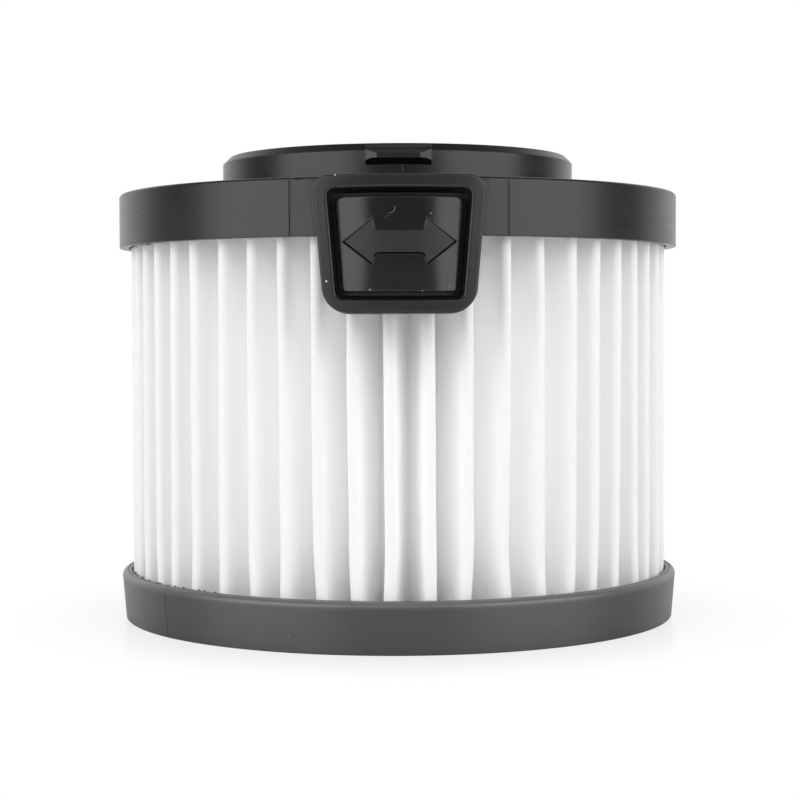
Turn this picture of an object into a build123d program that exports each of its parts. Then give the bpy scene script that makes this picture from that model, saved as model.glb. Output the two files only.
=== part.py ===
"""Cartridge filter of a bagless vacuum cleaner.

A ring of pleated white media stands between two black moulded end caps.  Glue beds
seal the pleat ends into the caps, and a windowed cage inside keeps suction from
pulling the pleats in.  The top cap has an open neck with bayonet lugs and, at the
front, a grip tab with a raised double arrow for twisting the filter free.

Millimetres, +Z up, the filter's axis on Z.  The origin is the centre of the face
that it stands on, and the grip tab points along -Y.
"""

import os
from math import asin, cos, degrees, radians, sin, sqrt, tan

from build123d import *

# Overall sizes
cap_diameter = 116.0  # both end caps, at their widest
bottom_cap_height = 9.9
media_exposed_height = 66.5  # white pleats seen between the two caps
band_height = 10.8  # outer band of the top cap
neck_height = 8.0  # neck above the deck of the top cap
neck_diameter = 73.1

# Moulded walls
cap_wall = 1.95
deck_thickness = 2.0
floor_thickness = 2.4
neck_wall = 2.4
bottom_cap_draft = 0.8  # the bottom cap is this much smaller in radius at its foot
neck_top_bevel = 1.45
neck_inner_round = 0.5
band_top_round = 0.7
band_bottom_round = 0.3
rim_round = 1.1
rim_groove_width = 0.25  # fine groove in the top of the rim, where its round ends
rim_groove_depth = 0.25
rim_inner_bevel = 0.2
foot_round = 0.3
foot_groove_margin = 9.0  # groove under the bottom cap, in from its edge
foot_groove_width = 1.6
foot_groove_depth = 0.5

# Cage inside the pleats
cage_ledge = 4.05  # from the bore of the neck out to the inside of the cage
cage_wall = 1.6
window_columns = 12
window_rows = 4
cage_rib = 3.2  # bars between the windows, round the cage and along it
cage_end_band = 7.0  # plain band at each end of the cage

# Locating ribs that centre the cage in the caps
rib_wall = 1.4
rib_height = 3.0
cage_clearance = 0.2

# Pleated media
pleat_count = 50
media_thickness = 0.6
fold_radius = 1.15  # outside of each fold
tip_clearance = 0.3  # pleat tips to the walls of the caps
fold_clearance = 0.2  # inner folds to the cage
first_pleat_angle = 6.0  # of one tip, from the middle of the grip tab

# Glue beds
glue_thickness = 2.0
glue_clearance = 0.2  # to the walls beside the bed

# Bayonet lugs on the neck
lug_count = 3
lug_width = 12.7  # at the wall of the neck
lug_reach = 2.05  # out from the wall of the neck
lug_end_bevel = 2.2  # along the neck, at each end of the lug
lug_end_depth = 1.2  # of those bevels, back from the front of the lug
lug_drop = 3.15  # underside of the lug, below the top of the neck
lug_front_height = 1.0
lug_slope_run = 1.6  # slope above the front of the lug
lug_slope_rise = 1.1
lug_crown_run = 0.3  # steep face above the slope
lug_top_gap = 0.3  # top of the lug, below the top of the neck
lug_root = 1.9  # depth of the lug's root in the wall of the neck
lug_gusset_run = 1.4  # gusset that carries the underside down on to the neck
lug_gusset_fall = 1.0

# Grip tab
tab_reach = 7.3  # front of the tab, out from the band
tab_top_drop = 0.3  # top of the tab, below the deck
tab_height = 24.7
tab_top_width = 31.2
tab_bottom_width = 27.0
tab_top_corner = 2.9
tab_bottom_corner = 5.0
tab_edge_round = 0.45
tab_wall = 1.6  # behind the floor of the recess
bezel_side = 2.2
bezel_top = 2.3
bezel_bottom = 2.45
recess_depth = 4.7
recess_draft = 8.0  # degrees, on the walls of the recess
recess_corner = 1.6
pad_margin = 0.8  # raised pad on the band, round the tab
pad_rise = 0.35

# Button that fills the recess and bulges forward, with a gap round it
button_side_gap = 1.47
button_top_gap = 1.55
button_bottom_gap = 1.45
button_depth = 1.2  # its middle, behind the front of the tab
button_curve = 28.0  # radius of the bulge
button_top_corner = 1.6
button_bottom_corner = 0.8
button_edge_round = 0.2

# Double arrow raised on the button
arrow_length = 20.4
arrow_head_length = 5.4
arrow_head_height = 8.5
arrow_head_hook = 0.55  # the back of each head leans towards the middle
arrow_shaft_height = 4.4
arrow_notch_round = 0.8
arrow_point_round = 0.4
arrow_lift = 0.4  # above the middle of the recess
arrow_rise = 0.65
arrow_bevel = 0.3

# Witness lines left by the mould
witness_width = 0.4
witness_depth = 0.12
band_witness_angle = 20.0  # degrees, each side of the grip tab
bottom_witness_angle = -51.6  # degrees, from the grip tab

# Levels and radii that follow from the sizes above
cap_radius = cap_diameter / 2
cap_inner_radius = cap_radius - cap_wall
foot_radius = cap_radius - bottom_cap_draft
neck_radius = neck_diameter / 2
bore_radius = neck_radius - neck_wall

band_bottom_z = bottom_cap_height + media_exposed_height
deck_z = band_bottom_z + band_height
deck_under_z = deck_z - deck_thickness
neck_top_z = deck_z + neck_height

cage_inner_radius = bore_radius + cage_ledge
cage_outer_radius = cage_inner_radius + cage_wall
cage_length = deck_under_z - floor_thickness
window_pitch = (cage_length - 2 * cage_end_band + cage_rib) / window_rows
window_height = window_pitch - cage_rib
window_width = 2 * cage_inner_radius * sin(radians(180 / window_columns)) - cage_rib
rib_outer_radius = cage_inner_radius - cage_clearance
rib_inner_radius = rib_outer_radius - rib_wall

pleat_tip_radius = cap_inner_radius - tip_clearance
pleat_root_radius = cage_outer_radius + fold_clearance
media_bottom_z = floor_thickness + glue_thickness
media_top_z = deck_under_z - glue_thickness
glue_outer_radius = cap_inner_radius - glue_clearance
glue_inner_radius = cage_outer_radius + glue_clearance

lug_bottom_z = neck_top_z - lug_drop
lug_slope_z = lug_bottom_z + lug_front_height
lug_top_z = neck_top_z - lug_top_gap
lug_front = neck_radius + lug_reach
lug_back = neck_radius - lug_root

tab_front = cap_radius + tab_reach
tab_floor = tab_front - recess_depth
tab_back = tab_floor - tab_wall
tab_top_z = deck_z - tab_top_drop
tab_bottom_z = tab_top_z - tab_height
tab_root_radius = cap_radius - cap_wall / 2  # the tab grows out of the wall of the band
tab_root = sqrt(tab_root_radius**2 - (tab_top_width / 2 + pad_margin) ** 2)
recess_top_z = tab_top_z - bezel_top
recess_bottom_z = tab_bottom_z + bezel_bottom
recess_reach = tab_front - sqrt(tab_floor**2 - (tab_top_width / 2) ** 2)  # to the floor at the sides
button_axis = tab_front - button_depth - button_curve  # axis of the bulge, ahead of the filter's axis
arrow_z = (recess_top_z + recess_bottom_z) / 2 + arrow_lift
arrow_notch = arrow_length / 2 - arrow_head_length - arrow_head_hook

FRONT = -90  # degrees in plan, where the grip tab and the first lug are
LOW_CORNER = (Align.MIN, Align.MIN)
STANDING = (Align.CENTER, Align.CENTER, Align.MIN)


def tab_half_width(z):
    """Half the width of the tab's front at a height."""
    share = (z - tab_bottom_z) / tab_height
    return (tab_bottom_width + share * (tab_top_width - tab_bottom_width)) / 2


def tab_corners(top_z, bottom_z, inset):
    """Corners of an outline that follows the sides of the tab, from the top left."""
    top = tab_half_width(top_z) - inset
    bottom = tab_half_width(bottom_z) - inset
    return [(-top, top_z), (top, top_z), (bottom, bottom_z), (-bottom, bottom_z)]


def around(radius, angle):
    """Vector in plan of a length and an angle."""
    return Vector(radius * cos(radians(angle)), radius * sin(radians(angle)))


def draw_fold(start, crown, end, creased):
    """Draw the edge of the sheet over one fold, round outside it or creased inside it."""
    if creased:
        Polyline(start, crown, end)
    else:
        ThreePointArc(start, crown, end)


def draw_pleats(outside):
    """Draw one edge of the folded sheet, round every tip and every inner fold.

    outside says which face of the sheet: its outer edge is round at the tips and
    creased at the inner folds, and its inner edge the other way about.
    """
    crease = fold_radius - media_thickness
    tip_fold = fold_radius if outside else crease
    root_fold = crease if outside else fold_radius
    half_pitch = 180 / pleat_count
    tip_centre = pleat_tip_radius - fold_radius
    root_centre = pleat_root_radius + fold_radius

    # A flank is the tangent that crosses between two neighbouring folds
    along = tip_centre - root_centre * cos(radians(half_pitch))
    across = root_centre * sin(radians(half_pitch))
    span = sqrt(along**2 + across**2)
    lean = degrees(asin(across / span) - asin((fold_radius + crease) / span))

    for pleat in range(pleat_count):
        tip_angle = FRONT + first_pleat_angle + pleat * 2 * half_pitch
        root_angle = tip_angle + half_pitch
        next_angle = root_angle + half_pitch
        tip = around(tip_centre, tip_angle)
        root = around(root_centre, root_angle)
        next_tip = around(tip_centre, next_angle)
        arriving = around(1, tip_angle - 90 + lean)
        leaving = around(1, tip_angle + 90 - lean)
        returning = around(1, next_angle - 90 + lean)

        tip_start = tip + arriving * tip_fold
        tip_crown = tip + around(tip_fold, tip_angle)
        tip_end = tip + leaving * tip_fold
        root_start = root - leaving * root_fold
        root_crown = root - around(root_fold, root_angle)
        root_end = root - returning * root_fold
        draw_fold(tip_start, tip_crown, tip_end, not outside)
        Line(tip_end, root_start)
        draw_fold(root_start, root_crown, root_end, outside)
        Line(root_end, next_tip + returning * tip_fold)


os.makedirs("parts", exist_ok=True)

# Bayonet lug at the front of the neck, with a sloped top, bevelled ends and a gusset
with BuildPart() as lug:
    with BuildSketch(Plane.YZ):
        with BuildLine():
            Polyline(
                (-lug_back, lug_bottom_z - lug_gusset_fall),
                (-neck_radius, lug_bottom_z - lug_gusset_fall),
                (-neck_radius - lug_gusset_run, lug_bottom_z),
                (-lug_front, lug_bottom_z),
                (-lug_front, lug_slope_z),
                (-lug_front + lug_slope_run, lug_slope_z + lug_slope_rise),
                (-lug_front + lug_slope_run + lug_crown_run, lug_top_z),
                (-lug_back, lug_top_z),
                close=True,
            )
        make_face()
    extrude(amount=lug_width / 2, both=True)
    with BuildSketch(Plane.XY.offset(deck_z)):
        with BuildLine():
            Polyline(
                (-lug_width / 2, -lug_back),
                (-lug_width / 2, -lug_front + lug_end_depth),
                (-lug_width / 2 + lug_end_bevel, -lug_front),
                (lug_width / 2 - lug_end_bevel, -lug_front),
                (lug_width / 2, -lug_front + lug_end_depth),
                (lug_width / 2, -lug_back),
                close=True,
            )
        make_face()
    extrude(amount=neck_height, mode=Mode.INTERSECT)

# Raised pad on the band, where the grip tab grows out of it
with BuildPart() as pad:
    with BuildSketch(Plane.XZ.offset(tab_root)):
        pad_top_z = deck_z - band_top_round
        pad_bottom_z = band_bottom_z + band_bottom_round
        with BuildLine():
            Polyline(*tab_corners(pad_top_z, pad_bottom_z, -pad_margin), close=True)
        make_face()
    extrude(amount=tab_front - tab_root)
    with BuildSketch(Plane.XY):
        Circle(cap_radius + pad_rise)
        Circle(tab_root_radius, mode=Mode.SUBTRACT)
    extrude(amount=neck_top_z, mode=Mode.INTERSECT)

# Recess of the grip tab: sloped walls down to a floor that curves with the band
with BuildPart() as recess:
    with BuildSketch(Plane.XZ.offset(tab_front)):
        with BuildLine():
            Polyline(*tab_corners(recess_top_z, recess_bottom_z, bezel_side), close=True)
        make_face()
        fillet(vertices(), recess_corner)
    extrude(amount=-recess_reach, taper=recess_draft)
    Cylinder(tab_floor, neck_top_z, align=STANDING, mode=Mode.SUBTRACT)

# Button in the recess, with a face that bulges forward
with BuildPart() as button:
    with BuildSketch(Plane.XZ.offset(tab_back)):
        button_top_z = recess_top_z - button_top_gap
        button_bottom_z = recess_bottom_z + button_bottom_gap
        with BuildLine():
            Polyline(*tab_corners(button_top_z, button_bottom_z, bezel_side + button_side_gap), close=True)
        make_face()
        fillet(vertices().group_by(Axis.Y)[-1], button_top_corner)
        fillet(vertices().group_by(Axis.Y)[0], button_bottom_corner)
    extrude(amount=tab_front - tab_back)
    with BuildSketch(Plane.XY):
        with Locations((0, -button_axis)):
            Circle(button_curve)
    extrude(amount=neck_top_z, mode=Mode.INTERSECT)
    fillet(faces().sort_by(Axis.Y)[0].edges(), button_edge_round)

# Double arrow, one quarter drawn and mirrored twice, then curved with the button
with BuildPart() as arrow:
    with BuildSketch(Plane((0, -tab_back, arrow_z), x_dir=(1, 0, 0), z_dir=(0, -1, 0))):
        with BuildLine():
            Polyline(
                (0, 0),
                (arrow_length / 2, 0),
                (arrow_length / 2 - arrow_head_length, arrow_head_height / 2),
                (arrow_notch, arrow_shaft_height / 2),
                (0, arrow_shaft_height / 2),
                close=True,
            )
        make_face()
        mirror(about=Plane.XZ)
        mirror(about=Plane.YZ)
        notches = vertices().filter_by(lambda corner: abs(abs(corner.X) - arrow_notch) < 0.01)
        points = vertices().filter_by(lambda corner: abs(corner.X) > arrow_notch + 0.01)
        fillet(notches, arrow_notch_round)
        fillet(points, arrow_point_round)
    extrude(amount=tab_front - tab_back)
    with BuildSketch(Plane.XY):
        with Locations((0, -button_axis)):
            Circle(button_curve + arrow_rise)
    extrude(amount=neck_top_z, mode=Mode.INTERSECT)
    chamfer(faces().sort_by(Axis.Y)[0].edges(), arrow_bevel)

# Grip tab: a frame round the recess, curved with the band
with BuildPart() as tab:
    with BuildSketch(Plane.XZ.offset(tab_root)):
        with BuildLine():
            Polyline(*tab_corners(tab_top_z, tab_bottom_z, 0), close=True)
        make_face()
        fillet(vertices().group_by(Axis.Y)[-1], tab_top_corner)
        fillet(vertices().group_by(Axis.Y)[0], tab_bottom_corner)
    extrude(amount=tab_front - tab_root)
    with BuildSketch(Plane.XY):
        Circle(tab_front)
        Circle(tab_root_radius, mode=Mode.SUBTRACT)
    extrude(amount=neck_top_z, mode=Mode.INTERSECT)
    add(recess.part, mode=Mode.SUBTRACT)
    fillet(faces().sort_by(Axis.Y)[0].edges(), tab_edge_round)
    add(button.part)
    add(arrow.part)

    # Below the band the tab is a plate that stands clear of the pleats
    with BuildSketch(Plane.XY.offset(tab_bottom_z)):
        Circle(tab_back)
    extrude(amount=band_bottom_z - tab_bottom_z, mode=Mode.SUBTRACT)

# Top cap: band, deck and neck in one section, with the lugs and the grip tab
with BuildPart() as top_cap:
    with BuildSketch(Plane.XZ):
        with Locations((bore_radius, deck_under_z)):
            Rectangle(cap_radius - bore_radius, deck_thickness, align=LOW_CORNER)
            Rectangle(neck_wall, neck_top_z - deck_under_z, align=LOW_CORNER)
        with Locations((cap_inner_radius, band_bottom_z)):
            Rectangle(cap_wall, band_height, align=LOW_CORNER)
        with Locations((rib_inner_radius, deck_under_z - rib_height)):
            Rectangle(rib_wall, rib_height, align=LOW_CORNER)
        neck_corners = vertices().group_by(Axis.Y)[-1].sort_by(Axis.X)
        chamfer(neck_corners[-1], neck_top_bevel)
        fillet(neck_corners[0], neck_inner_round)
        band_corners = vertices().group_by(Axis.X)[-1].sort_by(Axis.Y)
        fillet(band_corners[-1], band_top_round)
        fillet(band_corners[0], band_bottom_round)
    revolve(axis=Axis.Z)
    with PolarLocations(0, lug_count):
        add(lug.part)
    add(pad.part)
    add(tab.part)
    with Locations((0, 0, band_bottom_z + band_height / 2)):
        with PolarLocations(
            cap_radius,
            2,
            start_angle=FRONT - band_witness_angle,
            angular_range=2 * band_witness_angle,
            endpoint=True,
        ):
            Box(2 * witness_depth, witness_width, band_height, mode=Mode.SUBTRACT)
top_cap.part.label = "top_cap"
export_step(top_cap.part, "parts/top_cap.step")

# Bottom cap: a drafted rim round a closed floor
with BuildPart() as bottom_cap:
    with BuildSketch(Plane.XZ):
        with BuildLine():
            Polyline(
                (0, 0),
                (foot_radius, 0),
                (cap_radius, bottom_cap_height),
                (cap_inner_radius, bottom_cap_height),
                (cap_inner_radius, floor_thickness),
                (0, floor_thickness),
                close=True,
            )
        make_face()
        with Locations((rib_inner_radius, floor_thickness)):
            Rectangle(rib_wall, rib_height, align=LOW_CORNER)
        with Locations((foot_radius - foot_groove_margin, 0)):
            Rectangle(
                foot_groove_width,
                foot_groove_depth,
                align=(Align.MAX, Align.MIN),
                mode=Mode.SUBTRACT,
            )
        rim_corners = vertices().group_by(Axis.Y)[-1].sort_by(Axis.X)
        fillet(rim_corners[-1], rim_round)
        chamfer(rim_corners[0], rim_inner_bevel)
        fillet(vertices().group_by(Axis.Y)[0].sort_by(Axis.X)[-1], foot_round)
        with Locations((cap_radius - rim_round, bottom_cap_height)):
            Rectangle(
                rim_groove_width,
                2 * rim_groove_depth,
                align=(Align.MAX, Align.CENTER),
                mode=Mode.SUBTRACT,
            )
    revolve(axis=Axis.Z)
    witness_lean = degrees(bottom_cap_draft / bottom_cap_height)
    with Locations((0, 0, bottom_cap_height / 2)):
        with PolarLocations((cap_radius + foot_radius) / 2, 1, start_angle=FRONT + bottom_witness_angle):
            Box(
                2 * witness_depth,
                witness_width,
                bottom_cap_height,
                rotation=(0, witness_lean, 0),
                mode=Mode.SUBTRACT,
            )
bottom_cap.part.label = "bottom_cap"
export_step(bottom_cap.part, "parts/bottom_cap.step")

# Pleated media: one sheet folded round every tip and back, joined into a ring
with BuildPart() as pleated_media:
    with BuildSketch(Plane.XY.offset(media_bottom_z)):
        with BuildLine():
            draw_pleats(outside=True)
        make_face()
        with BuildLine():
            draw_pleats(outside=False)
        make_face(mode=Mode.SUBTRACT)
    extrude(amount=media_top_z - media_bottom_z)
pleated_media.part.label = "pleated_media"
export_step(pleated_media.part, "parts/pleated_media.step")

# Cage: a tube with rows of windows, standing between the two caps
with BuildPart() as support_cage:
    with BuildSketch(Plane.XY.offset(floor_thickness)):
        Circle(cage_outer_radius)
        Circle(cage_inner_radius, mode=Mode.SUBTRACT)
    extrude(amount=cage_length)
    row_levels = []
    for row in range(window_rows):
        row_z = floor_thickness + cage_end_band + row * window_pitch + window_height / 2
        row_levels.append((0, 0, row_z))
    with Locations(*row_levels):
        with PolarLocations(cage_outer_radius, window_columns):
            Box(4 * cage_wall, window_width, window_height, mode=Mode.SUBTRACT)
support_cage.part.label = "support_cage"
export_step(support_cage.part, "parts/support_cage.step")

# Glue bed under the deck of the top cap
with BuildPart() as top_glue:
    with BuildSketch(Plane.XY.offset(media_top_z)):
        Circle(glue_outer_radius)
        Circle(glue_inner_radius, mode=Mode.SUBTRACT)
    extrude(amount=glue_thickness)
top_glue.part.label = "top_glue"
export_step(top_glue.part, "parts/top_glue.step")

# Glue bed on the floor of the bottom cap
with BuildPart() as bottom_glue:
    with BuildSketch(Plane.XY.offset(floor_thickness)):
        Circle(glue_outer_radius)
        Circle(glue_inner_radius, mode=Mode.SUBTRACT)
    extrude(amount=glue_thickness)
bottom_glue.part.label = "bottom_glue"
export_step(bottom_glue.part, "parts/bottom_glue.step")
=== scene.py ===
"""Looks of the pleated cartridge filter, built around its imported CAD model.

The CAD solids of the top cap, the cage and the glue beds stay and get procedural finishes.
The bottom cap is turned anew in even steps, and the pleated sheet is folded anew so that its
folds wander a little, as glued felt does. Crumbs of dried glue lie along the rims where the
sheet meets the caps.
"""

import logging
import math
from dataclasses import dataclass, field
from enum import Enum
from typing import Any

import bmesh
import bpy
from mathutils import Matrix, Vector


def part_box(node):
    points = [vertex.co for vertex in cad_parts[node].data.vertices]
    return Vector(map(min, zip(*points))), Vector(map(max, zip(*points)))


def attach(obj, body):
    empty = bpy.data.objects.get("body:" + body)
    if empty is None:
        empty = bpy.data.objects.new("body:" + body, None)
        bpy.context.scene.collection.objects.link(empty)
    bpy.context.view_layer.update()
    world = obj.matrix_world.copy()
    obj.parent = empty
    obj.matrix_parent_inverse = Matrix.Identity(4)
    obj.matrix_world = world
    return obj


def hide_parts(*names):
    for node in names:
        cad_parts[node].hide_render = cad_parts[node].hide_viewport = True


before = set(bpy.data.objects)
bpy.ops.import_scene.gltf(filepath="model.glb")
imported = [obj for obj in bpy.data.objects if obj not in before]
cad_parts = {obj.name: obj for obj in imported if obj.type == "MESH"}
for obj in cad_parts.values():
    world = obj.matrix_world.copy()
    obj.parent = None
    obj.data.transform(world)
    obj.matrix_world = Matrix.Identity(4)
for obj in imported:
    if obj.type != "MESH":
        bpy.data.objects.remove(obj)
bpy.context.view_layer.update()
BODY = "root"
MM = 0.001

# Points nearer than this are one point
WELD = 0.001 * MM

# Direction of the grip tab round the axis, in degrees
TAB_DIRECTION = -90.0

# Width of the photograph, in pixels
PHOTO_WIDTH = 800

# Share of a mark's half width at which it starts to fade
MARK_FADE = 0.5

# Rays that the rounding of edges in a finish takes
EDGE_SAMPLES = 6

# Numbers of a Mix node's colour sockets and of a Random Value node's number sockets, because
# sockets of other kinds share their names
MIX_FIRST, MIX_SECOND, MIX_RESULT = 6, 7, 2
RANDOM_LOW, RANDOM_HIGH, RANDOM_RESULT = 2, 3, 1

log = logging.getLogger("filter")


class Slot(Enum):
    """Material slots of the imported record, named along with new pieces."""

    FOOT = "foot_plastic"
    MEDIA = "media"
    GLUE = "glue"


class Value:
    """A node socket that joins in Python expressions."""

    def __init__(self, graph: "Graph", socket: bpy.types.NodeSocket) -> None:
        """Keep the socket and the graph that new Math nodes go into."""
        self.graph = graph
        self.socket = socket

    def _math(self, operation: str, first: Any, second: Any) -> "Value":
        """Add a Math node.

        Args:
            operation: the node's operation.
            first: its first input, a value or a number.
            second: its second input, a value or a number.

        Returns:
            The node's result.
        """
        return self.graph.node("ShaderNodeMath", {"operation": operation}, {0: first, 1: second})

    def __add__(self, other: Any) -> "Value":
        """Sum."""
        return self._math("ADD", self, other)

    def __radd__(self, other: Any) -> "Value":
        """Sum, with the number first."""
        return self._math("ADD", other, self)

    def __sub__(self, other: Any) -> "Value":
        """Difference."""
        return self._math("SUBTRACT", self, other)

    def __rsub__(self, other: Any) -> "Value":
        """Difference, with the number first."""
        return self._math("SUBTRACT", other, self)

    def __mul__(self, other: Any) -> "Value":
        """Product."""
        return self._math("MULTIPLY", self, other)

    def __rmul__(self, other: Any) -> "Value":
        """Product, with the number first."""
        return self._math("MULTIPLY", other, self)

    def __truediv__(self, other: Any) -> "Value":
        """Quotient."""
        return self._math("DIVIDE", self, other)

    def __rtruediv__(self, other: Any) -> "Value":
        """Quotient, with the number first."""
        return self._math("DIVIDE", other, self)

    def __lt__(self, other: Any) -> "Value":
        """One where this is less than the other, else zero."""
        return self._math("LESS_THAN", self, other)

    def __gt__(self, other: Any) -> "Value":
        """One where this is greater than the other, else zero."""
        return self._math("GREATER_THAN", self, other)

    def __abs__(self) -> "Value":
        """Size without its sign."""
        return self.call("ABSOLUTE")

    def call(self, operation: str, other: Any = 0.0) -> "Value":
        """Any other Math operation with this as its first input."""
        return self._math(operation, self, other)

    def limited(self, low: float, high: float) -> "Value":
        """This value kept between two limits."""
        return self.call("MAXIMUM", low).call("MINIMUM", high)

    def ramp(self, start: float, end: float) -> "Value":
        """Smooth step.

        Args:
            start: where it leaves zero.
            end: where it reaches one.

        Returns:
            The step, from zero to one.
        """
        settings = {"interpolation_type": "SMOOTHSTEP"}
        inputs = {"Value": self, "From Min": start, "From Max": end}
        return self.graph.node("ShaderNodeMapRange", settings, inputs)


class Graph:
    """Builds a shader tree or a geometry tree."""

    def __init__(self, tree: bpy.types.NodeTree) -> None:
        """Start from an empty tree."""
        self.tree = tree
        self.tree.nodes.clear()

    def node(
        self,
        kind: str,
        settings: dict[str, Any] | None = None,
        inputs: dict[str | int, Any] | None = None,
        output: str | int = 0,
    ) -> Value:
        """Add a node.

        Args:
            kind: the node's type.
            settings: properties that are set before its sockets.
            inputs: socket name or number to a value, a number, a colour or a vector.
            output: name or number of the socket that is returned.

        Returns:
            The chosen output, or the first input of a node that has no output.
        """
        made = self.tree.nodes.new(kind)
        for name, setting in (settings or {}).items():
            setattr(made, name, setting)
        for name, given in (inputs or {}).items():
            if isinstance(given, Value):
                self.tree.links.new(given.socket, made.inputs[name])
            else:
                made.inputs[name].default_value = given
        return Value(self, made.outputs[output] if made.outputs else made.inputs[0])

    def sibling(self, value: Value, output: str | int) -> Value:
        """Another output of the node that a value comes from."""
        return Value(self, value.socket.node.outputs[output])

    def split(self, vector: Value) -> tuple[Value, Value, Value]:
        """The three parts of a vector."""
        x = self.node("ShaderNodeSeparateXYZ", inputs={0: vector})
        return x, self.sibling(x, 1), self.sibling(x, 2)

    def join(self, x: Any, y: Any, z: Any) -> Value:
        """A vector of three parts."""
        return self.node("ShaderNodeCombineXYZ", inputs={0: x, 1: y, 2: z})

    def mix_colour(self, share: Any, first: Any, second: Any) -> Value:
        """Blend two colours.

        Args:
            share: how much of the second colour shows.
            first: a colour.
            second: a colour.

        Returns:
            The blended colour.
        """
        settings = {"data_type": "RGBA"}
        inputs = {"Factor": share, MIX_FIRST: first, MIX_SECOND: second}
        return self.node("ShaderNodeMix", settings, inputs, MIX_RESULT)

    def noise(
        self, place: Value, scale: float, detail: float = 2.0, roughness: float = 0.55
    ) -> Value:
        """Add a noise pattern.

        Args:
            place: where it is read.
            scale: its waves in a unit of length.
            detail: how many finer waves are added.
            roughness: how strong the finer waves are.

        Returns:
            The noise, between zero and one.
        """
        inputs = {"Vector": place, "Scale": scale, "Detail": detail, "Roughness": roughness}
        return self.node("ShaderNodeTexNoise", inputs=inputs)


def grey(level: float) -> tuple[float, float, float, float]:
    """An opaque grey."""
    return (level, level, level, 1.0)


class Surface:
    """A material with a Principled shader and the coordinates that patterns read."""

    def __init__(self, name: str) -> None:
        """Make the material, its shader and its object coordinates.

        Args:
            name: the material's name.
        """
        self.material = bpy.data.materials.new(name)
        self.material.use_nodes = True
        self.graph = Graph(self.material.node_tree)
        self.shader = self.graph.node("ShaderNodeBsdfPrincipled")
        self.output = self.graph.node("ShaderNodeOutputMaterial", inputs={"Surface": self.shader})
        self.place = self.graph.node("ShaderNodeTexCoord", output="Object")
        self.axes = self.graph.split(self.place)

    def set(self, **inputs: Any) -> None:
        """Set or link the shader's sockets.

        Args:
            inputs: what they get, by their names with underscores for spaces.
        """
        sockets = self.shader.socket.node.inputs
        for name, given in inputs.items():
            socket = sockets[name.replace("_", " ")]
            if isinstance(given, Value):
                self.graph.tree.links.new(given.socket, socket)
            else:
                socket.default_value = given

    def fed(self, name: str) -> Value:
        """The value that already feeds one of the shader's sockets."""
        return Value(self.graph, self.shader.socket.node.inputs[name].links[0].from_socket)

    def bump(self, height: Value, depth: float, edge: float = 0.0) -> Value:
        """Normal of a relief.

        Args:
            height: relief between zero and one.
            depth: its depth, in metres.
            edge: radius that edges look rounded to, in metres.

        Returns:
            The bumped normal.
        """
        inputs: dict[str | int, Any] = {"Height": height, "Distance": depth, "Strength": 1.0}
        if edge:
            settings = {"samples": EDGE_SAMPLES}
            inputs["Normal"] = self.graph.node("ShaderNodeBevel", settings, {"Radius": edge})
        return self.graph.node("ShaderNodeBump", inputs=inputs)

    def cover(self, share: Value, shader: Value) -> None:
        """Lay another shader over this one.

        Args:
            share: how much of the other shader shows.
            shader: the other shader.
        """
        inputs = {0: share, 1: self.shader, 2: shader}
        mixed = self.graph.node("ShaderNodeMixShader", inputs=inputs)
        self.graph.tree.links.new(mixed.socket, self.output.socket)

    def specks(self, cells: float, size: float, share: float) -> Value:
        """Mask of scattered round specks.

        Args:
            cells: cells per metre, one speck at most in each.
            size: radius of a speck, as a share of its cell.
            share: share of the cells that hold a speck.

        Returns:
            One on a speck and zero elsewhere.
        """
        inputs = {"Vector": self.place, "Scale": cells}
        distance = self.graph.node("ShaderNodeTexVoronoi", inputs=inputs)
        chance, _, _ = self.graph.split(self.graph.sibling(distance, "Color"))
        return (distance < size) * (chance < share)


@dataclass(frozen=True)
class Speck:
    """A pale grain on the front of a piece; sizes in millimetres."""

    x: float
    z: float
    radius: float
    tone: float = 0.4

    def mask(self, made: Surface) -> Value:
        """Mask of the speck.

        Args:
            made: the surface that it lies on.

        Returns:
            How much it covers, from zero to one.
        """
        x, y, z = made.axes
        across, up = x - self.x * MM, z - self.z * MM
        away = (across * across + up * up).call("SQRT")
        radius = self.radius * MM
        return (1 - away.ramp(radius * MARK_FADE, radius)) * (y < 0.0)


@dataclass(frozen=True)
class Fibre:
    """A hair or a scratch on the front of a piece: an arc; sizes in millimetres and degrees."""

    x: float
    z: float
    radius: float
    start: float
    end: float
    width: float
    tone: float = 0.4

    def mask(self, made: Surface) -> Value:
        """Mask of the fibre.

        Args:
            made: the surface that it lies on.

        Returns:
            How much it covers, from zero to one.
        """
        x, y, z = made.axes
        across, up = x - self.x * MM, z - self.z * MM
        off = abs((across * across + up * up).call("SQRT") - self.radius * MM)
        turn = up.call("ARCTAN2", across) * math.degrees(1)
        ends = (turn > self.start) * (turn < self.end)
        half = self.width * MM / 2
        return (1 - off.ramp(half * MARK_FADE, half)) * ends * (y < 0.0)


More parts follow.
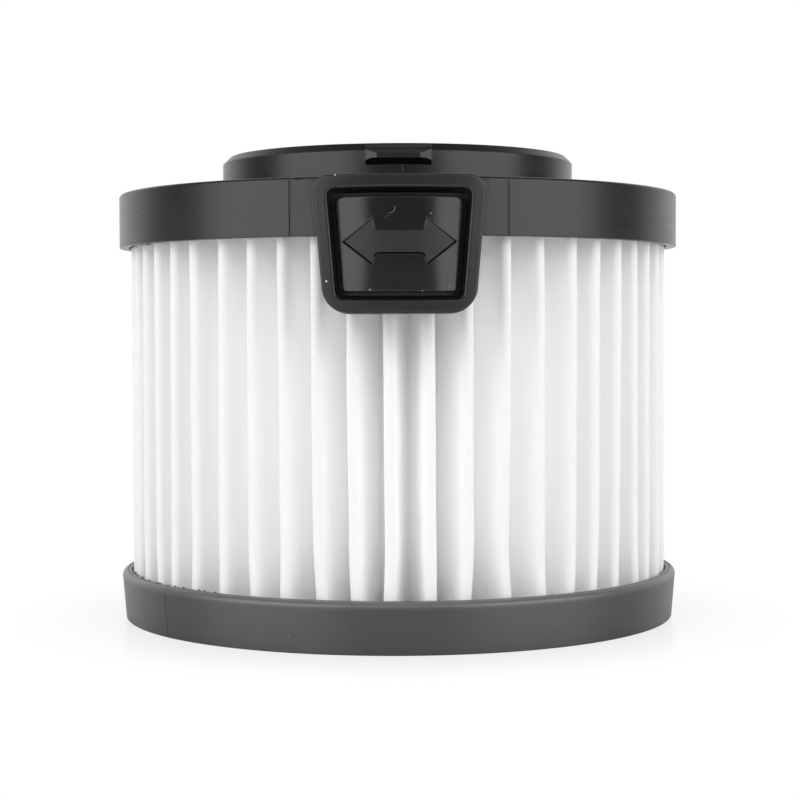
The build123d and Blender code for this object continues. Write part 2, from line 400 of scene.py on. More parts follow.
@dataclass(frozen=True)
class SatinPlastic:
    """Moulded plastic with a fine grain and a little dust."""

    name: str
    tone: float
    roughness: float
    shine: float = 0.5
    grain: float = 2600.0
    grain_depth: float = 0.012 * MM
    edge: float = 0.25 * MM
    cloud_scale: float = 60.0
    cloud_tone: float = 0.15
    cloud_gloss: float = 0.08
    streak: float = 0.1
    streak_across: float = 70.0
    streak_up: float = 700.0
    dust_cells: float = 240.0
    dust_size: float = 0.055
    dust_share: float = 0.2
    dust_cover: float = 0.6
    dust_tone: float = 0.22
    marks: tuple[Speck | Fibre, ...] = ()

    def surface(self) -> Surface:
        """Build the finish.

        Returns:
            The surface, with every socket set.
        """
        made = Surface(self.name)
        graph = made.graph
        clouds = graph.noise(made.place, self.cloud_scale)
        grain = graph.noise(made.place, self.grain, detail=3.0)
        x, y, z = made.axes
        across, up = self.streak_across, self.streak_up
        streaks = graph.noise(graph.join(x * across, y * across, z * up), scale=1.0, detail=4.0)
        dark, pale = self.tone * (1 - self.cloud_tone), self.tone * (1 + self.cloud_tone)
        plain = graph.mix_colour(clouds, grey(dark), grey(pale))
        dust = made.specks(self.dust_cells, self.dust_size, self.dust_share)
        colour = graph.mix_colour(dust * self.dust_cover, plain, grey(self.dust_tone))
        for mark in self.marks:
            colour = graph.mix_colour(mark.mask(made), colour, grey(mark.tone))
        dull = (clouds - 0.5) * self.cloud_gloss + (streaks - 0.5) * self.streak
        made.set(
            Base_Color=colour,
            Roughness=dull + self.roughness,
            Normal=made.bump(grain, self.grain_depth, self.edge),
            Specular_IOR_Level=self.shine,
        )
        return made


@dataclass(frozen=True)
class GripPlastic(SatinPlastic):
    """The top cap's plastic: glossy on the grip's button, matt on its arrow, painted shade on its
    lower edges.
    """

    button_axis: float = 36.1 * MM
    button_curve: float = 28.0 * MM
    button_rise: float = 0.975 * MM
    button_side: float = 11.7 * MM
    button_front: float = 61.2 * MM
    button_bottom: float = 66.0 * MM
    button_top: float = 83.2 * MM
    button_gloss: float = 0.12
    arrow_side: float = 10.4 * MM
    arrow_middle: float = 75.03 * MM
    arrow_half: float = 4.4 * MM
    arrow_rise: float = 0.65 * MM
    arrow_matt: float = 0.14
    # Painted shade under the arrow: the band of its edges, the slope below which it lies, and its
    # near-black tone
    under_shade_low: float = 0.065 * MM
    under_shade_high: float = 0.6305 * MM
    under_shade_slope: float = -0.25
    under_shade_tone: float = 0.004

    def surface(self) -> Surface:
        """Build the finish.

        Returns:
            The surface, with the button of the grip set apart.
        """
        made = super().surface()
        x, y, z = made.axes
        ahead = y + self.button_axis
        bulge = (x * x + ahead * ahead).call("SQRT") - self.button_curve
        button = (abs(x) < self.button_side) * (y < -self.button_front)
        button = button * (z > self.button_bottom) * (z < self.button_top)
        button = button * (bulge < self.button_rise)
        arrow = (abs(x) < self.arrow_side) * (abs(z - self.arrow_middle) < self.arrow_half)
        arrow = button * arrow * (bulge > self.arrow_rise / 2)
        gloss = (button - arrow) * self.button_gloss
        made.set(Roughness=made.fed("Roughness") - gloss + arrow * self.arrow_matt)

        # Painted shade: a near-black shader lies on the edges of the arrow that face down, where
        # shadow falls
        facing = made.graph.node("ShaderNodeNewGeometry", output="True Normal")
        _, _, upward = made.graph.split(facing)
        edges = (bulge > self.under_shade_low) * (bulge < self.under_shade_high) * (upward < self.under_shade_slope)
        painted_shade = made.graph.node("ShaderNodeBsdfDiffuse", inputs={"Color": grey(self.under_shade_tone)})
        made.cover(button * edges, painted_shade)
        return made


@dataclass(frozen=True)
class FootPlastic(SatinPlastic):
    """The bottom cap's plastic, with a painted highlight along its rim, in patches."""

    # Heights over which the painted highlight on the rim fades in, its tone, and the size and least
    # strength of its patches
    rim: tuple[float, float] = (8.2 * MM, 9.4 * MM)
    rim_highlight_tone: float = 0.125
    highlight_patch_scale: float = 300.0
    highlight_patch_least: float = 0.5

    def surface(self) -> Surface:
        """Build the finish.

        Returns:
            The surface, with the painted highlight on its rim.
        """
        made = super().surface()
        graph = made.graph
        _, _, z = made.axes
        # Painted highlight: paler towards the top of the rim, in noisy patches
        patches = graph.noise(made.place, self.highlight_patch_scale, detail=3.0)
        rim_highlight = z.ramp(*self.rim) * (patches * (1 - self.highlight_patch_least) + self.highlight_patch_least)
        highlighted = graph.mix_colour(rim_highlight, made.fed("Base Color"), grey(self.rim_highlight_tone))
        made.set(Base_Color=highlighted)
        return made


@dataclass(frozen=True)
class FeltedSheet:
    """White filter sheet of fine matted fibres."""

    name: str
    tone: float = 0.996
    shade: float = 0.988
    shade_range: tuple[float, float] = (0.35, 0.75)
    cloud_scale: float = 90.0
    fibre_scale: float = 1900.0
    fibre_depth: float = 0.04 * MM
    roughness: float = 0.85
    roughness_spread: float = 0.1
    shine: float = 0.2
    depth: float = 0.4 * MM

    def surface(self) -> Surface:
        """Build the finish.

        Returns:
            The surface, with every socket set.
        """
        made = Surface(self.name)
        graph = made.graph
        clouds = graph.noise(made.place, self.cloud_scale, detail=4.0)
        fibres = graph.noise(made.place, self.fibre_scale, detail=4.0)
        shaded = clouds.ramp(*self.shade_range)
        made.set(
            Base_Color=graph.mix_colour(shaded, grey(self.tone), grey(self.shade)),
            Roughness=clouds * self.roughness_spread + self.roughness,
            Normal=made.bump(fibres, self.fibre_depth),
            Specular_IOR_Level=self.shine,
            Subsurface_Weight=1.0,
            Subsurface_Radius=(1.0, 1.0, 1.0),
            Subsurface_Scale=self.depth,
        )
        return made


@dataclass(frozen=True)
class DriedGlue:
    """Dried sealing glue, clouded with dirt."""

    name: str
    tone: tuple[float, float, float, float]
    dirt: tuple[float, float, float, float]
    dirt_range: tuple[float, float] = (0.4, 0.65)
    lump_scale: float = 400.0
    lump_depth: float = 0.05 * MM
    roughness: float = 0.35
    roughness_spread: float = 0.3

    def surface(self) -> Surface:
        """Build the finish.

        Returns:
            The surface, with every socket set.
        """
        made = Surface(self.name)
        graph = made.graph
        lumps = graph.noise(made.place, self.lump_scale, detail=3.0)
        made.set(
            Base_Color=graph.mix_colour(lumps.ramp(*self.dirt_range), self.tone, self.dirt),
            Roughness=lumps * self.roughness_spread + self.roughness,
            Normal=made.bump(lumps, self.lump_depth),
        )
        return made


class NodeTree(Graph):
    """A Geometry Nodes tree with named inputs."""

    def __init__(self, name: str) -> None:
        """Make an empty tree that gives one geometry.

        Args:
            name: the tree's name.
        """
        super().__init__(bpy.data.node_groups.new(name, "GeometryNodeTree"))
        self.given: dict[str, tuple[str, float]] = {}
        sockets = self.tree.interface
        sockets.new_socket("Geometry", in_out="OUTPUT", socket_type="NodeSocketGeometry")
        self.group_input = self.node("NodeGroupInput").socket.node

    def size(self, name: str, value: float, kind: str = "NodeSocketFloat") -> Value:
        """Add a named input.

        Args:
            name: the input's name.
            value: what the modifier sets it to.
            kind: the socket's type.

        Returns:
            The input, for use in the tree.
        """
        socket = self.tree.interface.new_socket(name, in_out="INPUT", socket_type=kind)
        self.given[name] = (socket.identifier, value)
        return Value(self, self.group_input.outputs[name])

    def count(self, name: str, value: int) -> Value:
        """Add a named input that holds a whole number."""
        return self.size(name, value, "NodeSocketInt")

    def random(self, identity: Value, seed: Value, offset: int) -> Value:
        """Draw random numbers.

        Args:
            identity: what each number belongs to.
            seed: seed of the tree.
            offset: which draw of the tree it is.

        Returns:
            A number between minus one and one for each identity.
        """
        settings = {"data_type": "FLOAT"}
        limits = {RANDOM_LOW: -1.0, RANDOM_HIGH: 1.0}
        inputs = limits | {"ID": identity, "Seed": seed + offset}
        return self.node("FunctionNodeRandomValue", settings, inputs, RANDOM_RESULT)

    def close(self, geometry: Value, material: bpy.types.Material) -> None:
        """End the tree in Realize Instances and Set Material.

        Args:
            geometry: what the tree has made.
            material: its material.
        """
        plain = self.node("GeometryNodeRealizeInstances", inputs={"Geometry": geometry})
        inputs = {"Geometry": plain, "Material": material}
        dressed = self.node("GeometryNodeSetMaterial", inputs=inputs)
        self.node("NodeGroupOutput", inputs={"Geometry": dressed})

    def mesh(self, name: str, thickness: float = 0.0) -> bpy.types.Object:
        """Evaluate the tree.

        Args:
            name: the new object's name.
            thickness: wall that a bare sheet gets, half to each side, in metres.

        Returns:
            An object that holds the result as a plain mesh.
        """
        carrier = bpy.data.objects.new(name, bpy.data.meshes.new(name))
        bpy.context.scene.collection.objects.link(carrier)
        nodes = carrier.modifiers.new("nodes", "NODES")
        nodes.node_group = self.tree
        for identifier, value in self.given.values():
            nodes[identifier] = value
        if thickness:
            wall = carrier.modifiers.new("wall", "SOLIDIFY")
            wall.thickness = thickness
            wall.offset = 0.0
        ready = carrier.evaluated_get(bpy.context.evaluated_depsgraph_get())
        plain = bpy.data.meshes.new_from_object(ready)
        carrier.modifiers.clear()
        carrier.data = plain
        plain.name = name
        return carrier


def add_piece(piece: bpy.types.Object, slot: Slot, *nodes: str) -> None:
    """Set a new piece on the body.

    Args:
        piece: the piece's object.
        slot: not used.
        nodes: CAD nodes that it stands for.
    """
    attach(piece, BODY)
    if nodes:
        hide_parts(*nodes)
    log.info("piece %s: %d faces", piece.name, len(piece.data.polygons))


def dress_node(node: str, surface: Surface) -> None:
    """Give a CAD node a finish.

    Args:
        node: the node's name.
        surface: the finish.
    """
    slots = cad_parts[node].material_slots
    slots[0].material = surface.material
    log.info("node %s: %s", node, surface.material.name)


@dataclass(frozen=True)
class FoldPath:
    """Middle of the sheet along half a pleat, from its tip to an inner fold."""

    tip_centre: float
    bend: float
    lean: float
    flank: float
    tip_turn: float
    root_turn: float


@dataclass
class PleatedSheet:
    """The filter sheet: one strip folded out and back round the cage."""

    pleats: int = 50
    thickness: float = 0.6 * MM
    fold: float = 1.15 * MM
    root_radius: float = 40.0 * MM
    first_angle: float = math.radians(-84.0)
    tip_steps: int = 6
    flank_steps: int = 5
    root_steps: int = 5
    rows: int = 20

    # Waves round the ring, with their size and phase in degrees
    drift: tuple[tuple[int, float, float], ...] = ((3, 0.62, 24.9), (6, 0.52, 110.2))
    wander: float = math.radians(0.35)
    sway: float = math.radians(0.8)
    buckle: float = 0.22 * MM
    kink: float = math.radians(0.9)
    kink_height: float = 0.2

    # Steps in the noise for each pleat, up the sheet and, for creases, out to the tip
    sway_steps: tuple[float, float] = (3.7, 2.2)
    crease_steps: tuple[float, float, float] = (5.3, 7.0, 1.5)
    seed: int = 7

    @property
    def half_pitch(self) -> float:
        """Angle between a tip and the inner fold beside it."""
        return math.pi / self.pleats

    def path(self, tip_radius: float) -> FoldPath:
        """Work out half a pleat in plan.

        Args:
            tip_radius: the radius that the tips reach.

        Returns:
            The path round the tip, along the flank and round the inner fold.
        """
        bend = self.fold - self.thickness / 2
        tip_centre = tip_radius - self.fold
        root_centre = self.root_radius + self.fold

        # A flank is the tangent that crosses between two neighbouring folds
        along = tip_centre - root_centre * math.cos(self.half_pitch)
        across = root_centre * math.sin(self.half_pitch)
        span = math.hypot(along, across)
        lean = math.asin(across / span) - math.asin(2 * bend / span)
        flank = math.sqrt(span**2 - (2 * bend) ** 2)
        tip_turn = math.pi / 2 - lean
        return FoldPath(tip_centre, bend, lean, flank, tip_turn, tip_turn - self.half_pitch)

    def plan(self, tree: NodeTree, path: FoldPath, past_tip: Value) -> tuple[Value, Value]:
        """Lay the columns of the grid along the path.

        Args:
            tree: the sheet's tree.
            path: half a pleat in plan.
            past_tip: a column's steps from its pleat's tip, negative before it.

        Returns:
            The radius from the filter's axis, and the angle from the pleat's tip.
        """
        tip = tree.size("Tip centre", path.tip_centre)
        fold = tree.size("Fold", path.bend)
        step = abs(past_tip)
        tip_angle = step.limited(0, self.tip_steps) * (path.tip_turn / self.tip_steps)
        flank_step = (step - self.tip_steps).limited(0, self.flank_steps)
        run = flank_step * (path.flank / self.flank_steps)
        root_step = (step - self.tip_steps - self.flank_steps).limited(0, self.root_steps)
        root_angle = path.tip_turn - root_step * (path.root_turn / self.root_steps)

        # Out from the axis and aside from the tip: round the tip, along the flank, round the root
        outward = tip + fold * tip_angle.call("COSINE") - run * math.cos(path.lean)
        outward = outward + fold * (math.cos(path.tip_turn) - root_angle.call("COSINE"))
        aside = fold * tip_angle.call("SINE") + run * math.sin(path.lean)
        aside = aside + fold * (math.sin(path.tip_turn) - root_angle.call("SINE"))
        radius = (outward * outward + aside * aside).call("SQRT")
        return radius, aside.call("ARCTAN2", outward) * past_tip.call("SIGN")

    def stray(self, tree: NodeTree, pleat: Value, level: Value, seed: Value) -> Value:
        """How far the tips stray from their places.

        Args:
            tree: the sheet's tree.
            pleat: number of the pleat.
            level: place up the sheet, from zero to one.
            seed: seed of the random numbers.

        Returns:
            The angle round the filter's axis.
        """
        wander = tree.size("Wander", self.wander)
        sway = tree.size("Sway", self.sway)
        kink = tree.size("Kink", self.kink)
        shift, twist, bend = (tree.random(pleat, seed, offset) for offset in range(3))
        round_step, up_step = self.sway_steps
        wave = tree.noise(tree.join(pleat * round_step, level * up_step, seed), scale=1.0) - 0.5
        held = (level * (1 - level) * 4).limited(0, 1)
        foot = 1 - level.ramp(0.0, self.kink_height)
        drift = shift * wander + twist * sway * (level - 0.5)
        return drift + wave * sway * held + bend * kink * foot

    def build(self, surface: Surface) -> None:
        """Fold the sheet.

        Args:
            surface: its finish.
        """
        low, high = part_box("pleated_media")
        tip_radius = (high.x - low.x) / 2
        tree = NodeTree("pleated sheet")
        pleats = tree.count("Pleats", self.pleats)
        bottom = tree.size("Bottom", low.z)
        height = tree.size("Height", high.z - low.z)
        first = tree.size("First pleat", self.first_angle)
        buckle = tree.size("Buckle", self.buckle)
        seed = tree.count("Seed", self.seed)

        # A flat grid, one column for each step along the folds
        half_steps = self.tip_steps + self.flank_steps + self.root_steps
        columns = pleats * (2 * half_steps)
        sizes = {"Size X": columns, "Size Y": 1.0}
        counts = {"Vertices X": columns + 1, "Vertices Y": self.rows + 1}
        grid = tree.node("GeometryNodeMeshGrid", inputs=sizes | counts)
        across_grid, up_grid, _ = tree.split(tree.node("GeometryNodeInputPosition"))
        column = (across_grid + columns / 2).call("ROUND")
        level = up_grid + 0.5

        # Which pleat a column is in, and how many steps it is past that pleat's tip
        pleat = ((column + 0.5) / (2 * half_steps)).call("FLOOR")
        past_tip = column - pleat * (2 * half_steps) - half_steps
        radius, turn = self.plan(tree, self.path(tip_radius), past_tip)

        # The inner folds are held, so that the ring closes, and the tips stray and buckle
        held_radius = self.root_radius + self.thickness / 2
        free = ((radius - held_radius) / (tip_radius - held_radius)).limited(0, 1)
        middle_angle = first + pleat * (2 * self.half_pitch)
        drift = self.stray(tree, pleat, level, seed)
        for waves, size, phase in self.drift:
            swing = (middle_angle + math.pi / 2) * waves - math.radians(phase)
            drift = drift + swing.call("SINE") * math.radians(size)
        round_step, up_step, out_step = self.crease_steps
        crease_place = tree.join(pleat * round_step, level * up_step, free * out_step)
        crease = tree.noise(crease_place, scale=1.0) - 0.5
        angle = middle_angle + turn + drift * free + crease * buckle * free * (1 / tip_radius)
        radius = radius - abs(crease) * buckle * free
        place = tree.join(
            radius * angle.call("COSINE"), radius * angle.call("SINE"), bottom + height * level
        )
        moved = tree.node("GeometryNodeSetPosition", inputs={"Geometry": grid, "Position": place})
        seam = {"Geometry": moved, "Distance": WELD}
        closed = tree.node("GeometryNodeMergeByDistance", inputs=seam)
        smooth = tree.node("GeometryNodeSetShadeSmooth", inputs={"Geometry": closed})
        tree.close(smooth, surface.material)

        add_piece(tree.mesh("filter_sheet", self.thickness), Slot.MEDIA, "pleated_media")


@dataclass(frozen=True)
class GlueCrumbs:
    """A run of crumbs along a rim; sizes in millimetres and degrees from the grip tab."""

    name: str
    crumbs: int
    start: float
    end: float
    radius: float
    spread: float
    level: float
    rise: float
    smallest: float
    largest: float
    seed: int
    subdivisions: int = 2

    def build(self, surface: Surface) -> None:
        """Scatter the crumbs.

        Args:
            surface: their finish.
        """
        tree = NodeTree(self.name)
        crumbs = tree.count("Crumbs", self.crumbs)
        start = tree.size("Start", math.radians(self.start + TAB_DIRECTION))
        end = tree.size("End", math.radians(self.end + TAB_DIRECTION))
        radius = tree.size("Radius", self.radius * MM)
        spread = tree.size("Spread", self.spread * MM)
        level = tree.size("Level", self.level * MM)
        rise = tree.size("Rise", self.rise * MM)
        smallest = tree.size("Smallest", self.smallest * MM)
        largest = tree.size("Largest", self.largest * MM)
        seed = tree.count("Seed", self.seed)

        line = tree.node("GeometryNodeMeshLine", inputs={"Count": crumbs})
        index = tree.node("GeometryNodeInputIndex")
        along, aside, up, *sides = (tree.random(index, seed, offset) for offset in range(6))
        turn = start + (end - start) * (along * 0.5 + 0.5)
        out = radius + spread * aside
        place = tree.join(out * turn.call("COSINE"), out * turn.call("SINE"), level + rise * up)
        points = tree.node("GeometryNodeSetPosition", inputs={"Geometry": line, "Position": place})
        ball = {"Radius": 0.5, "Subdivisions": self.subdivisions}
        grain = tree.node("GeometryNodeMeshIcoSphere", inputs=ball)
        widths = [smallest + (largest - smallest) * abs(side) for side in sides]
        inputs = {"Points": points, "Instance": grain, "Scale": tree.join(*widths)}
        tree.close(tree.node("GeometryNodeInstanceOnPoints", inputs=inputs), surface.material)
        add_piece(tree.mesh(self.name), Slot.GLUE)


@dataclass
class TurnedFoot:
    """The bottom cap, turned from the CAD model's section in even steps."""

    radius: float = 58.0 * MM
    draft: float = 0.8 * MM
    wall: float = 1.95 * MM
    floor: float = 2.4 * MM
    rim_round: float = 1.1 * MM
    rim_groove: float = 0.25 * MM
    foot_round: float = 0.3 * MM
    groove_inside: float = 46.6 * MM
    groove_outside: float = 48.2 * MM
    groove_top: float = 0.5 * MM
    rib_outside: float = 38.0 * MM
    rib_inside: float = 36.6 * MM
    rib_top: float = 5.4 * MM
    witness: float = math.radians(-141.6)
    witness_width: float = 0.4 * MM
    witness_depth: float = 0.12 * MM
    witness_flank: float = 0.02 * MM
    segments: int = 240
    round_steps: int = 10
    crease: float = math.radians(30)

    def rounded(self, before: Vector, corner: Vector, after: Vector, radius: float) -> list[Vector]:
        """Round a corner of the section.

        Args:
            before: the point before the corner.
            corner: the corner.
            after: the point after it.
            radius: the radius of the round.

        Returns:
            The points of the arc that takes the corner's place.
        """
        back, ahead = (before - corner).normalized(), (after - corner).normalized()
        half = back.angle(ahead) / 2
        centre = corner + (back + ahead).normalized() * (radius / math.sin(half))
        start = corner + back * (radius / math.tan(half)) - centre
        end = corner + ahead * (radius / math.tan(half)) - centre
        turn = math.atan2(start.cross(end), start.dot(end))
        steps = range(self.round_steps + 1)
        return [centre + Matrix.Rotation(turn * i / self.round_steps, 2) @ start for i in steps]

    def section(self) -> tuple[list[Vector], list[int]]:
        """Draw half the section.

        Returns:
            Its points as radius and level, from the axis round to the axis, and the numbers of
            those that the witness line can cut without reaching the groove in the rim.
        """
        _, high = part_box("bottom_cap")
        top = high.z
        foot, rim = Vector((self.radius - self.draft, 0)), Vector((self.radius, top))
        inner = Vector((self.radius - self.wall, top))
        lip = self.radius - self.rim_round
        under = [
            (0, 0),
            (self.groove_inside, 0),
            (self.groove_inside, self.groove_top),
            (self.groove_outside, self.groove_top),
            (self.groove_outside, 0),
        ]
        outside = self.rounded(Vector((0, 0)), foot, rim, self.foot_round)
        outside += [p for p in self.rounded(foot, rim, inner, self.rim_round) if p.x > lip]
        inside = [
            (lip, top),
            (lip, top - self.rim_groove),
            (lip - self.rim_groove, top - self.rim_groove),
            (lip - self.rim_groove, top),
            inner,
            (inner.x, self.floor),
            (self.rib_outside, self.floor),
            (self.rib_outside, self.rib_top),
            (self.rib_inside, self.rib_top),
            (self.rib_inside, self.floor),
            (0, self.floor),
        ]
        points = [Vector(p) for p in under] + outside + [Vector(p) for p in inside]
        rows = range(len(under), len(under) + len(outside))
        return points, [row for row in rows if points[row].x - self.witness_depth > lip]

    def build(self, surface: Surface) -> None:
        """Turn the section round the axis, with the mould's witness line in the rim.

        Args:
            surface: its finish.
        """
        points, cut_rows = self.section()
        half = self.witness_width / 2 / self.radius
        flank = half + self.witness_flank / self.radius
        cuts = [(self.witness + side, abs(side) == half) for side in (-flank, -half, half, flank)]
        pitch = math.tau / self.segments
        start = self.witness + pitch / 2
        columns = cuts + [(start + pitch * i, False) for i in range(self.segments)]
        columns.sort()

        vertices: list[tuple[float, float, float]] = []
        for row, point in enumerate(points):
            for angle, cut in columns:
                out = point.x - (self.witness_depth if cut and row in cut_rows else 0)
                vertices.append((out * math.cos(angle), out * math.sin(angle), point.y))
        count = len(columns)
        faces: list[tuple[int, int, int, int]] = []
        for low in range(0, count * (len(points) - 1), count):
            high = low + count
            for i in range(count):
                j = (i + 1) % count
                faces.append((low + i, low + j, high + j, high + i))
        mesh = bpy.data.meshes.new("bottom_cap_turned")
        mesh.from_pydata(vertices, [], faces)
        shape = bmesh.new()
        shape.from_mesh(mesh)
        bmesh.ops.remove_doubles(shape, verts=shape.verts, dist=WELD)
        shape.to_mesh(mesh)
        shape.free()
        mesh.shade_smooth()
        mesh.set_sharp_from_angle(angle=self.crease)
        mesh.materials.append(surface.material)
        cap = bpy.data.objects.new("bottom_cap_turned", mesh)
        bpy.context.scene.collection.objects.link(cap)
        add_piece(cap, Slot.FOOT, "bottom_cap")


@dataclass
class EndCaps:
    """Top cap and bottom cap, with the cage and the glue beds between them."""

    cap_finish: GripPlastic = GripPlastic(
        "cap black",
        tone=0.008,
        roughness=0.3,
        shine=0.6,
        marks=(
            Fibre(x=-1.75, z=81.0, radius=0.95, start=-95, end=12, width=0.11, tone=0.2),
            Fibre(x=-3.2, z=82.4, radius=3.05, start=-82, end=-62, width=0.12, tone=0.05),
            Fibre(x=6.9, z=91.2, radius=6.2, start=-178, end=-165, width=0.14, tone=0.12),
            Speck(x=5.6, z=80.0, radius=0.13),
            Speck(x=-5.3, z=66.5, radius=0.16, tone=0.6),
            Speck(x=4.0, z=66.3, radius=0.13),
            Speck(x=8.8, z=67.0, radius=0.4, tone=0.05),
            Speck(x=-10.3, z=67.2, radius=0.3, tone=0.05),
            Speck(x=-13.0, z=68.0, radius=0.2, tone=0.9),
            Speck(x=-11.4, z=86.75, radius=0.16, tone=0.8),
        ),
    )
    foot_finish: FootPlastic = FootPlastic(
        "foot grey",
        tone=0.034,
        roughness=0.36,
        shine=1.0,
        grain=1500.0,
        marks=(
            Speck(x=-7.6, z=7.8, radius=0.4, tone=0.045),
            Speck(x=-10.0, z=4.7, radius=0.22, tone=0.06),
            Speck(x=-7.8, z=3.6, radius=0.22, tone=0.06),
            Speck(x=-8.0, z=0.8, radius=0.3, tone=0.06),
            Speck(x=-34.75, z=4.3, radius=0.2, tone=0.05),
            Speck(x=-26.1, z=3.4, radius=0.2, tone=0.045),
        ),
    )
    cage_finish: SatinPlastic = SatinPlastic("cage black", tone=0.016, roughness=0.5)
    glue_finish: DriedGlue = DriedGlue(
        "cured glue", tone=(0.62, 0.6, 0.54, 1), dirt=(0.4, 0.38, 0.33, 1)
    )
    crumb_finish: DriedGlue = DriedGlue(
        "dirty glue", tone=(0.2, 0.2, 0.19, 1), dirt=(0.03, 0.03, 0.03, 1)
    )
    crumbs: tuple[GlueCrumbs, ...] = (
        GlueCrumbs(
            "crumbs_left", crumbs=70, start=-88, end=-38, radius=56.0, spread=0.2,
            level=9.85, rise=0.12, smallest=0.15, largest=0.55, seed=3,
        ),
        GlueCrumbs(
            "crumbs_rim", crumbs=40, start=-38, end=300, radius=56.0, spread=0.15,
            level=9.8, rise=0.1, smallest=0.12, largest=0.35, seed=5,
        ),
        GlueCrumbs(
            "crumbs_band", crumbs=24, start=-88, end=-60, radius=55.95, spread=0.12,
            level=76.4, rise=0.1, smallest=0.15, largest=0.45, seed=8,
        ),
    )
    foot: TurnedFoot = field(default_factory=TurnedFoot)

    def build(self) -> None:
        """Turn the bottom cap, and lay the crumbs of glue along the rims."""
        self.foot.build(self.foot_finish.surface())
        surface = self.crumb_finish.surface()
        for run in self.crumbs:
            run.build(surface)

    def dress(self) -> None:
        """Give the CAD nodes their finishes."""
        dress_node("top_cap", self.cap_finish.surface())
        dress_node("support_cage", self.cage_finish.surface())
        glue = self.glue_finish.surface()
        dress_node("top_glue", glue)
        dress_node("bottom_glue", glue)


@dataclass(frozen=True)
class SoftLamp:
    """A rectangular soft lamp that faces the filter; angles in degrees."""

    name: str
    azimuth: float
    elevation: float
    distance: float
    width: float
    tall: float
    radiance: float
    aim_height: float = 0.05

    def build(self) -> None:
        """Place the lamp, with the power that gives its face the radiance."""
        data = bpy.data.lights.new(self.name, "AREA")
        data.shape = "RECTANGLE"
        data.size = self.width
        data.size_y = self.tall
        data.energy = self.radiance * math.pi * self.width * self.tall
        lamp = bpy.data.objects.new(self.name, data)
        bpy.context.scene.collection.objects.link(lamp)
        azimuth, elevation = math.radians(self.azimuth), math.radians(self.elevation)
        flat = math.cos(elevation)
        away = Vector((flat * math.sin(azimuth), -flat * math.cos(azimuth), math.sin(elevation)))
        lamp.location = Vector((0, 0, self.aim_height)) + away * self.distance
        lamp.rotation_mode = "QUATERNION"
        lamp.rotation_quaternion = (-away).to_track_quat("-Z", "Y")


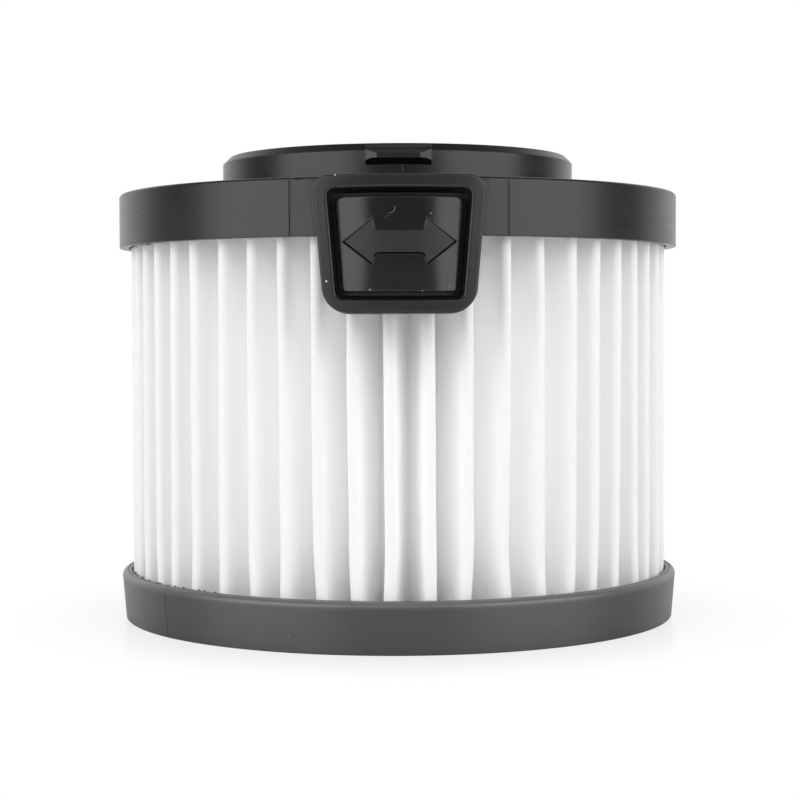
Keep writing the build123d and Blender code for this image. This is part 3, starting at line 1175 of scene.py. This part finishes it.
@dataclass
class Studio:
    """White floor and backdrop, and soft lamps to both sides of the camera and above it."""

    floor_size: float = 6.0
    floor_tone: float = 0.82
    floor_glow: float = 0.75
    floor_fade: tuple[float, float] = (0.055, 0.085)
    mirror_fade: tuple[float, float] = (0.1, 0.3)
    floor_roughness: float = 0.2
    floor_shine: float = 1.0
    back_depth: tuple[float, float] = (0.25, 0.85)
    back_rise: tuple[float, float] = (0.25, 0.8)
    back_fall: float = 0.7
    back_light: float = 0.6
    dim: float = 0.12
    bounce: float = 0.32
    bounces: int = 24
    lamps: tuple[SoftLamp, ...] = (
        SoftLamp(
            "left lamp", azimuth=-53, elevation=20,
            distance=0.95, width=1.0, tall=0.75, radiance=1.9,
        ),
        SoftLamp(
            "right lamp", azimuth=55, elevation=20,
            distance=0.95, width=1.0, tall=0.75, radiance=1.84,
        ),
        SoftLamp(
            "top lamp", azimuth=0, elevation=38,
            distance=1.0, width=1.0, tall=0.45, radiance=0.88,
        ),
    )

    @staticmethod
    def clear_rays(graph: Graph) -> Value:
        """Mask of the rays that show the studio: straight, mirrored or through glass.

        Args:
            graph: the tree that asks.

        Returns:
            One for such rays, else zero.
        """
        camera = graph.node("ShaderNodeLightPath", output="Is Camera Ray")
        mirrored = graph.sibling(camera, "Is Glossy Ray")
        through = graph.sibling(camera, "Is Transmission Ray")
        return (camera + mirrored + through).limited(0, 1)

    def floor(self) -> None:
        """Lay a pale floor that stays white round the object's shadow."""
        half = self.floor_size / 2
        mesh = bpy.data.meshes.new("floor")
        corners = [(-half, -half, 0), (half, -half, 0), (half, half, 0), (-half, half, 0)]
        mesh.from_pydata(corners, [], [(0, 1, 2, 3)])
        floor = bpy.data.objects.new("floor", mesh)
        bpy.context.scene.collection.objects.link(floor)
        material = bpy.data.materials.new("white floor")
        material.use_nodes = True
        graph = Graph(material.node_tree)
        sees = self.clear_rays(graph)
        mirrored = graph.node("ShaderNodeLightPath", output="Is Glossy Ray")
        x, y, _ = graph.split(graph.node("ShaderNodeTexCoord", output="Object"))
        away = (x * x + y * y).call("SQRT")
        white = away.ramp(*self.floor_fade) * (1 - self.floor_glow) + self.floor_glow
        white = white + mirrored * (away.ramp(*self.mirror_fade) - white)
        finish = {
            "Base Color": grey(self.floor_tone),
            "Roughness": self.floor_roughness,
            "Specular IOR Level": self.floor_shine,
        }
        paint = graph.node("ShaderNodeBsdfPrincipled", inputs=finish)
        glow = graph.node("ShaderNodeEmission", inputs={"Color": grey(1.0)})
        mixed = graph.node("ShaderNodeMixShader", inputs={0: sees * white, 1: paint, 2: glow})
        graph.node("ShaderNodeOutputMaterial", inputs={"Surface": mixed})
        mesh.materials.append(material)

    def backdrop(self) -> None:
        """Light the room: white behind the object, dim round the camera."""
        world = bpy.data.worlds.new("studio")
        bpy.context.scene.world = world
        world.use_nodes = True
        graph = Graph(world.node_tree)
        _, depth, rise = graph.split(graph.node("ShaderNodeTexCoord", output="Generated"))
        behind = depth.ramp(*self.back_depth) * (1 - rise.ramp(*self.back_rise) * self.back_fall)
        camera = graph.node("ShaderNodeLightPath", output="Is Camera Ray")
        sees = self.clear_rays(graph)
        white = camera.call("MAXIMUM", sees * behind)
        room = behind * self.back_light + self.dim + (1 - sees) * self.bounce
        level = white + (1 - white) * room
        shader = graph.node("ShaderNodeBackground", inputs={"Color": grey(1.0), "Strength": level})
        graph.node("ShaderNodeOutputWorld", inputs={"Surface": shader})

    def build(self) -> None:
        """Set up the floor, the backdrop and the lamps."""
        self.floor()
        self.backdrop()
        for lamp in self.lamps:
            lamp.build()

        # Folds of white felt pass light on between them many times
        bpy.context.scene.cycles.max_bounces = self.bounces
        bpy.context.scene.cycles.diffuse_bounces = self.bounces


@dataclass
class PhotoCamera:
    """The camera, level with the middle of the filter."""

    distance: float = 0.3984
    height: float = 0.0593
    azimuth: float = math.radians(-0.3)
    pitch: float = 0.037
    roll: float = math.radians(0.203)
    lens: float = 84.85
    sensor: float = 36.0
    shift: float = 1.7 / PHOTO_WIDTH
    clip: tuple[float, float] = (0.01, 20.0)

    def build(self) -> None:
        """Place the camera and make it the scene's own."""
        data = bpy.data.cameras.new("camera")
        data.lens = self.lens
        data.sensor_width = self.sensor
        data.shift_x = self.shift
        data.clip_start, data.clip_end = self.clip
        camera = bpy.data.objects.new("camera", data)
        bpy.context.scene.collection.objects.link(camera)
        swing = Matrix.Rotation(self.azimuth, 4, "Z")
        stand = Matrix.Translation((0, -self.distance, self.height))
        tilt = Matrix.Rotation(math.pi / 2 - self.pitch, 4, "X")
        camera.matrix_world = swing @ stand @ tilt @ Matrix.Rotation(-self.roll, 4, "Z")
        bpy.context.scene.camera = camera


def main() -> None:
    """Build the filter's looks, then the studio round it."""
    logging.basicConfig(level=logging.INFO, format="%(name)s: %(message)s")
    bpy.context.scene.view_settings.view_transform = "Standard"
    caps = EndCaps()
    caps.dress()
    caps.build()
    PleatedSheet().build(FeltedSheet("white felt").surface())
    Studio().build()
    PhotoCamera().build()


if __name__ == "__main__":
    main()
